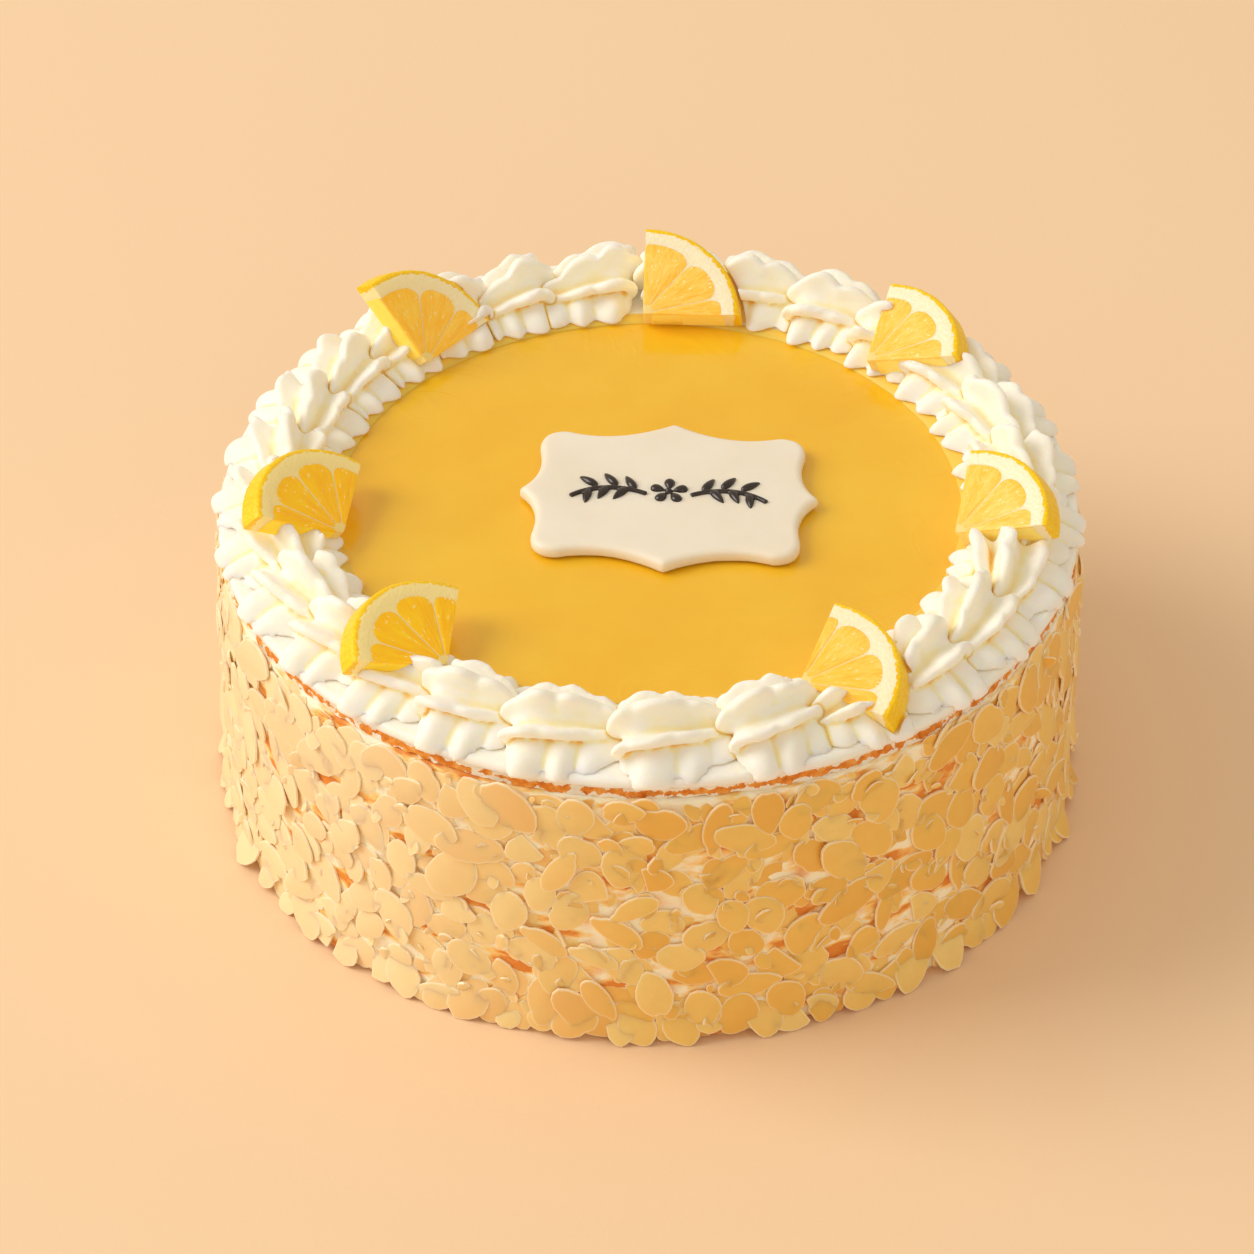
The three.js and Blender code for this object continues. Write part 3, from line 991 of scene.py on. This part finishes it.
def onto_plaque(piece, height):
    """Put a piece that was shaped at the origin, in mm, in its place on the cake."""
    turn = Matrix.Rotation(math.radians(PLAQUE_TURN), 4, "Z")
    place = Vector((PLAQUE_AT[0] * MM, PLAQUE_AT[1] * MM, height))
    reshape(piece, lambda point: turn @ point * MM + place)


plaque_low, plaque_high = box_of("plaque")
plaque = drawn("icing_plaque", [(x, y, 0) for x, y in plaque_outline()])
edit(plaque)
grow_up(PLAQUE_THICK)
bpy.ops.mesh.select_all(action="DESELECT")
done()
for edge in plaque.data.edges:
    edge.select = all(plaque.data.vertices[v].co.z > 1 for v in edge.vertices)
bpy.ops.object.mode_set(mode="EDIT")
bpy.ops.mesh.select_mode(type="EDGE")
bpy.ops.mesh.bevel(offset=EDGE_ROUND, segments=6, profile=0.5, affect="EDGES", clamp_overlap=True)
done()
onto_plaque(plaque, plaque_low.z)
tidy_mesh(plaque)
fused(plaque, 0.55 * MM, 8)
waved(plaque, "poured_waves", 20 * MM, 1, 0.25 * MM)
smooth(plaque)

icing = Finish("sugar_icing", soft=(0.4, 3, 0.75, 0.45), roughness=0.38)
icing.colour(icing.ramp(icing.noise(40, 3), (0.3, (240, 228, 206)), (0.7, (246, 236, 218))))
icing.grain(300, 3, 0.1, 0.3)
dress(plaque, icing.material, "icing", "plaque")

# %% [markdown]
# # Piped chocolate sprig
# The sprig is drawn with a fine nozzle: a blossom of five drops, and a stem with leaves to each
# side. A stem is a path with a round section, turned into a mesh. A drop is a ball that is drawn
# out towards one end and pressed flat. All of it sinks a little into the icing.

# %% Sprig
# In mm from the blossom, on its right side; a leaf's direction in degrees
STEM = [(6.2, -1.6), (11.6, 1.2), (17.6, 1.9), (23, 0.2), (27.4, -3.6)]
LEAVES = [
    (9.4, 0.6, 62), (14.6, 2, 54), (20, 1.6, 36), (11.8, 1, -56), (17.2, 1.6, -68), (22.4, 0, -84),
]
LEAF_LONG, LEAF_WIDE = 6.6, 2.5
PETAL_AT = 3.3


def drop(x, y, long, wide, direction, tall=1.15):
    bpy.ops.mesh.primitive_uv_sphere_add(segments=20, ring_count=12, radius=1)
    body = bpy.context.object
    turn = Matrix.Rotation(math.radians(direction), 4, "Z")
    for vertex in body.data.vertices:
        end, across, up = vertex.co
        slim = 1 - 0.38 * end - 0.12 * end * end
        point = Vector((end * long / 2, across * wide / 2 * slim, up * tall * (1 - 0.25 * end)))
        vertex.co = turn @ point + Vector((x, y, 0))
    return body


def stem_piece(side):
    bpy.ops.curve.primitive_nurbs_path_add(radius=1)
    path = bpy.context.object
    line = path.data.splines[0]
    for point, (x, y) in zip(line.points, STEM):
        point.co = (side * x, y, 0.1, 1)
    path.data.bevel_depth = 0.78
    path.data.bevel_resolution = 4
    path.data.use_fill_caps = True
    bpy.ops.object.convert(target="MESH")
    return bpy.context.object


nothing_selected()
strokes = [drop(0, 0, 2.2, 2.2, 0, 1.3)]
for k in range(5):
    x, y, _ = polar(PETAL_AT, math.radians(90 + 72 * k))
    strokes.append(drop(x, y, 4.4, 3.0, 270 + 72 * k))
for side in (1, -1):
    nothing_selected()
    strokes.append(stem_piece(side))
    for x, y, direction in LEAVES:
        ahead, aside, _ = polar(LEAF_LONG / 2, math.radians(direction))
        heading = 90 + side * (direction - 90)
        strokes.append(drop(side * (x + ahead), y + aside, LEAF_LONG, LEAF_WIDE, heading))
sprig = joined("chocolate_sprig", *strokes)
onto_plaque(sprig, plaque_high.z - 0.9 * MM)
tidy_mesh(sprig)
fused(sprig, 0.28 * MM, 2)

chocolate = Finish("dark_chocolate", roughness=0.28, base_color=tint(38, 22, 14), coat_weight=0.3,
                   coat_roughness=0.2)
chocolate.grain(500, 3, 0.2, 0.3)
dress(sprig, chocolate.material, "chocolate", "plaque")

# %% [markdown]
# # The piped border
# A shell is a star-shaped rope of cream. The nozzle starts low, pushes up and back into a round
# head, then runs forward and down into a tail, and the next head covers that tail. The ribs of the
# star open into blades: a crest, a lip on each side, and a fluted skirt that rests on the cake.
#
# Extruding a star by hand gives a stiff fluted bar, without the curl of the head or the folds of
# the skirt. So a flat grid is rolled up here instead: one way along the nozzle's path, the other
# way round the star. Each point of it is then pushed by the folds that cream makes as it lands. A
# remesh fuses the folds that touch, as cream does, and smoothing rounds them.

# %% Shell dimensions
BORDER_R = 103.2                # mm, the ring that the border follows
ASKEW = 0.23                    # how far a shell turns off that ring, sideways for each mm along
CREAM_TOP = 92.0                # mm, what the border rests on
# Along the shell as parts of its length, height and fullness in mm
NOZZLE_PATH = [
    (0.38, 2.0, 0.30), (0.29, 2.6, 0.62), (0.22, 3.8, 0.88), (0.21, 5.3, 1.02), (0.29, 6.4, 1.06),
    (0.44, 6.5, 1.06), (0.60, 6.1, 1.00), (0.76, 5.5, 0.90), (0.92, 4.6, 0.76), (1.08, 3.6, 0.56),
    (1.22, 2.4, 0.34),
]
CREST, LIP, SKIRT, FOOT = range(4)
# Half of the star, from the crest's top down to the foot, blade by blade: outwards and upwards
# from the rope's middle in mm, and how much it folds
HALF_BLADES = {
    CREST: [(0.6, 7.5, 1.0), (1.6, 6.8, 0.9), (2.0, 4.9, 0.5), (2.4, 2.8, 0.2), (3.8, 0.9, 0.0)],
    LIP: [(5.6, 1.0, 0.3), (7.4, 2.1, 0.8), (9.0, 3.0, 1.0), (10.4, 2.6, 1.0), (10.8, 1.0, 1.0),
          (9.5, -0.4, 0.8), (7.6, -0.9, 0.3)],
    SKIRT: [(6.8, -1.5, 0.0), (9.2, -2.0, 0.5), (12.2, -2.8, 0.8), (15.0, -4.1, 1.0),
            (17.2, -6.0, 1.0), (18.2, -8.0, 1.0), (17.2, -9.0, 0.9), (13.6, -6.4, 0.5)],
    FOOT: [(12.4, -6.9, 0.2), (15.4, -8.0, 0.9), (15.9, -9.0, 1.0), (9.0, -7.1, 0.2),
           (3.0, -6.8, 0.0)],
}
HALF_STAR = [(out, up, blade, fold) for blade, row in HALF_BLADES.items() for out, up, fold in row]
INNER_SIZE = 0.92                # the star's side towards the cake's middle is a little smaller
INNER_HALF = [(-INNER_SIZE * out, up, blade, fold) for out, up, blade, fold in HALF_STAR]
STAR = HALF_STAR + INNER_HALF[::-1]
# Folds of each blade: their length, and how far they rise and reach, in mm
FOLDS = [(12.0, 1.0, 0.7), (9.5, 0.35, 0.5), (9.0, 0.9, 0.8), (5.6, 0.3, 0.8)]
LENGTHWISE, ROUNDWISE = 64, 112
VOXEL = 0.58 * MM

# %% Shape of one shell
EDGE_FROM, EDGE_DROP = 117.6, 0.16   # where the cream's edge rounds off in mm, and how steeply
LIFT = 0.1                           # mm between the border and the cream under it
WANDER, WANDER_SEED = 0.6, 5         # mm that the rope strays from its path, and its seed

# Without a seed of its own, noise_vector gives another wander in every run
noise.seed_set(WANDER_SEED)


def through(keys, where, closed=False):
    """A smooth curve through rows of numbers, at a place counted in rows."""
    count = len(keys)
    row = int(where) % count if closed else min(int(where), count - 2)
    part = where - int(where) if closed else where - row
    rows = []
    for k in (-1, 0, 1, 2):
        rows.append(keys[(row + k) % count] if closed else keys[min(max(row + k, 0), count - 1)])
    curve = []
    for a, b, c, d in zip(*rows):
        curve.append(0.5 * (2 * b + (c - a) * part + (2 * a - 5 * b + 4 * c - d) * part ** 2
                            + (3 * b - a - 3 * c + d) * part ** 3))
    return curve


def quarter(u, reach):
    """A round start: 0 at u = 0, full from u = reach on."""
    return math.sqrt(max(0.0, 1 - (1 - min(u / reach, 1)) ** 2))


def cake_level(out):
    """The lowest that the border may lie, as the cream's round edge falls away, in mm."""
    over = max(0.0, BORDER_R + out - EDGE_FROM)
    return LIFT - EDGE_DROP * over * over


def shell_point(u, round_, length, folds, seed):
    """One point of the rope: u runs along it, round_ round the star. Returns along, out and up."""
    where = u * (len(NOZZLE_PATH) - 1)
    along, middle, full = through(NOZZLE_PATH, where)
    ahead = through(NOZZLE_PATH, min(where + 0.05, len(NOZZLE_PATH) - 1))
    behind = through(NOZZLE_PATH, max(where - 0.05, 0))
    heading = Vector(((ahead[0] - behind[0]) * length, ahead[1] - behind[1])).normalized()
    out, up, _, folded = through(STAR, round_, closed=True)
    row = int(round_ + 0.5) % len(STAR)
    blade = STAR[row][2]
    inner = blade != CREST and row >= len(HALF_STAR)
    side = -1 if inner else 1

    # The crest and the lips curl round the head with the rope, and the crest is lower there
    skirt = min(1.0, -up / 1.5) if blade >= SKIRT else 0.0
    if blade == CREST:
        risen = unit((u - 0.12) / 0.3) ** 0.8
        up *= 0.2 + 0.8 * risen * (1 - 0.3 * max(0.0, (u - 0.6) / 0.4) ** 2)
    height = up * full
    curled = Vector((along * length - heading.y * height, out * full, middle + heading.x * height))
    # The skirts run straight along the cake, and narrow towards the tail
    narrowing = (0.3 if inner else 0.6) * max(0.0, (u - 0.42) / 0.58) ** 1.5
    wide = quarter(u, 0.15) * (1 - narrowing)
    straight = Vector(((0.16 + 1.04 * u) * length, out * (0.45 + 0.55 * wide),
                       6.4 * (0.55 + 0.45 * wide) + up * (0.7 + 0.3 * wide)))
    point = curled.lerp(straight, skirt)

    period, rise, reach = FOLDS[blade]
    stretch, phase = folds[blade + (4 if inner else 0)]
    drift = 0.25 * math.sin(point.x / 2.7 + 5 * phase)
    turns = math.pi * (point.x - 0.2 * length) / (period * stretch) + phase + drift
    wave = 2 * abs(math.sin(turns)) ** 1.2 - 1.1
    grown = min(1.0, wide if skirt > 0.5 else full)
    point.z += folded * grown * rise * wave
    point.y += side * folded * grown * reach * wave
    wander = noise.noise_vector(point * 0.13 + Vector((seed * 7.1, 0, 0)))
    point.y += WANDER * wander.y * grown
    point.z += WANDER * wander.z * grown
    if blade == LIP and folded > 0.7:
        point.z += 0.3 * noise.noise(point * 0.8)
    # Cream that would sink into the cake spreads sideways instead
    sunk = cake_level(point.y) - point.z
    if sunk > 0:
        point.y += side * min(0.8, sunk * 0.25)
        point.z = cake_level(point.y)
    return point

# %% Making a shell
# Soft lumps inside the rope: their place along it, their height and radius in mm
LUMPS = [(0.36, 4.0, 4.6), (0.52, 4.0, 5.2), (0.72, 3.6, 5.0), (0.92, 3.0, 4.2)]


def filling(length):
    """The lumps that fill the rope's hollow inside."""
    lumps = []
    for part, height, radius in LUMPS:
        bpy.ops.mesh.primitive_ico_sphere_add(subdivisions=3, radius=radius)
        lump = bpy.context.object
        lump.scale = (1.1, 1.0, 0.5)
        lump.location = (part * length, 0, height)
        lumps.append(lump)
    return lumps


def shell_mesh(name, length, seed):
    draw = random.Random(seed)
    folds = [(draw.uniform(0.85, 1.15), draw.uniform(-0.5, 0.5)) for _ in range(8)]

    def placed(u, v):
        return shell_point(u, v * len(STAR), length, folds, seed)

    shell = mapped_grid(name, LENGTHWISE, ROUNDWISE, placed)
    edit(shell)
    bpy.ops.mesh.remove_doubles(threshold=1e-4)
    bpy.ops.mesh.select_all(action="DESELECT")
    bpy.ops.mesh.select_non_manifold()
    bpy.ops.mesh.edge_face_add()
    bpy.ops.mesh.select_all(action="SELECT")
    bpy.ops.mesh.normals_make_consistent(inside=False)
    done()
    shell = joined(name, shell, *filling(length))
    shell.scale = (MM, MM, MM)
    bpy.ops.object.transform_apply(scale=True)
    fused(shell, VOXEL, 2)
    return shell


def lay_shell(shell, head, turn, length):
    """Bend a straight shell round the border, piped anticlockwise (1) or clockwise (-1).

    The piping hand holds every shell a little askew: its crest and lips turn anticlockwise."""
    def laid(point):
        along, out, up = point
        held = 0.35 + 0.65 * min(1.0, up / (9 * MM))
        radius = BORDER_R * MM + out - turn * ASKEW * (along - length * MM / 2) * held
        angle = math.radians(head) + turn * along / (BORDER_R * MM)
        return polar(radius, angle, CREAM_TOP * MM + up)

    reshape(shell, laid)
    tidy_mesh(shell)

# %% [markdown]
# Two rows of shells start at the back and meet at the front. The one that runs anticlockwise is
# listed in four stretches, because its shells were not piped equally far apart.

# %% Border
# Where a stretch starts and ends in degrees, how many shells it has, and which way it runs
RUNS = [
    (90.2, 105.5, 1, 1), (105.5, 186, 7, 1), (186, 247.6, 5, 1), (247.6, 294.6, 3, 1),
    (92.4, -63.6, 12, -1),
]
places = []
for start, end, count, turn in RUNS:
    step = (end - start) / count
    places += [(start + i * step, abs(step), turn) for i in range(count)]

shells = []
for number, (head, step, turn) in enumerate(places, 1):
    length = math.radians(step) * BORDER_R
    shell = shell_mesh(f"piped_shell_{number:02d}", length, number)
    lay_shell(shell, head, turn, length)
    shells.append(shell)
face_count = sum(len(shell.data.polygons) for shell in shells)
print("border", len(shells), "shells,", face_count, "faces")

# %% [markdown]
# Seen from the front, cream that stood high before a slice would hide its cut face. So the cream
# there is kept low where the eye's line of sight says so, down to a few millimetres of the
# slice's foot, and it swells a little where the slice pushed it up.

# %% Cream before a slice
FOOT_HIDDEN = 3.0               # mm of a cut face that the cream before it may hide
SWELL = 0.25                    # how much a slice pushes up the cream round its foot
FACE_REACH = 45                 # mm from the hub, past which the cream is left alone
FACE_ARC = 27                   # mm from the hub, where the cut face ends
FADE = 6                        # mm over which the swelling fades


def clear_face(shells_near, hub, faces, slope, start, end):
    """Keep the cream before a slice low enough for the eye to see all but its cut face's foot."""
    into_slice = tipped(faces, slope).transposed()
    eye = into_slice @ (EYE - hub) / MM
    rising = into_slice @ Vector((0, 0, 1))
    edges = []
    for angle, side in ((math.radians(start), 1), (math.radians(end), -1)):
        edges.append(Vector((-math.sin(angle), math.cos(angle), 0)) * side)
    for shell in shells_near:
        for vertex in shell.data.vertices:
            here = into_slice @ (vertex.co - hub) / MM
            height = vertex.co.z / MM - CREAM_TOP
            if here.z < -0.3 or height < 0.5 or here.length > FACE_REACH:
                continue
            sight = (here - eye).normalized()
            # Where the line of sight meets the cut face, and how far that moves when the cream
            # rises 1 mm
            hit = here - sight * here.z / sight.z
            shift = rising - sight * rising.z / sight.z
            swell = SWELL * height
            for room in (FADE * here.z, 8 - here.z, FACE_ARC - hit.xy.length, 9 - hit.y):
                swell *= unit(room / FADE)
            height += swell
            hit += shift * swell
            hidden = FOOT_HIDDEN * unit(here.z / 1.5) ** 0.5
            room = [(hidden - hit.dot(edge)) / max(0.15, shift.dot(edge)) for edge in edges]
            room.append(2 * (hit.xy.length - FACE_ARC))
            limit = max(1.0, height + max(room))
            vertex.co.z = (CREAM_TOP + height / (1 + (height / limit) ** 6) ** (1 / 6)) * MM

# %% [markdown]
# The slices are pressed into the border, so each shell gives way where a slice stands. The slice's
# own section, grown by a hair, is spun as its bed and taken out of the shells with a boolean, and
# crumbs of cream that this leaves loose are wiped off.

# %% Beds for the slices
def wipe_crumbs(shell):
    """Keep only the largest connected part of a shell."""
    links = {v.index: set() for v in shell.data.vertices}
    for edge in shell.data.edges:
        a, b = edge.vertices
        links[a].add(b)
        links[b].add(a)
    unseen, largest = set(links), set()
    while unseen:
        island, front = set(), [next(iter(unseen))]
        while front:
            point = front.pop()
            if point in unseen:
                unseen.discard(point)
                island.add(point)
                front.extend(links[point] & unseen)
        if len(island) > len(largest):
            largest = island
    edit(shell, "DESELECT")
    done()
    for vertex in shell.data.vertices:
        vertex.select = vertex.index not in largest
    loose = len(shell.data.vertices) - len(largest)
    if loose:
        bpy.ops.object.mode_set(mode="EDIT")
        bpy.ops.mesh.delete(type="VERT")
        done()
    return loose


for rind, bed, hub, (_, _, faces, slope, start, end, _) in zip(rinds, beds, hubs, SLICES):
    beside = [shell for shell in shells if near(shell, rind, 8 * MM)]
    clear_face(beside, hub, faces, slope, start, end)
    tidy_mesh(bed)
    for shell in shells:
        if near(shell, bed):
            modify(shell, "BOOLEAN", operation="DIFFERENCE", solver="MANIFOLD", object=bed)
            print(shell.name, "gives way,", wipe_crumbs(shell), "loose points wiped")
    remove(bed)

for shell in shells:
    keep_hollows(shell)
keep_contacts(shells)
for number, shell in enumerate(shells, 1):
    smooth(shell, 60)
    dress(shell, piped_cream, "cream", f"cream_shell_{number:02d}")
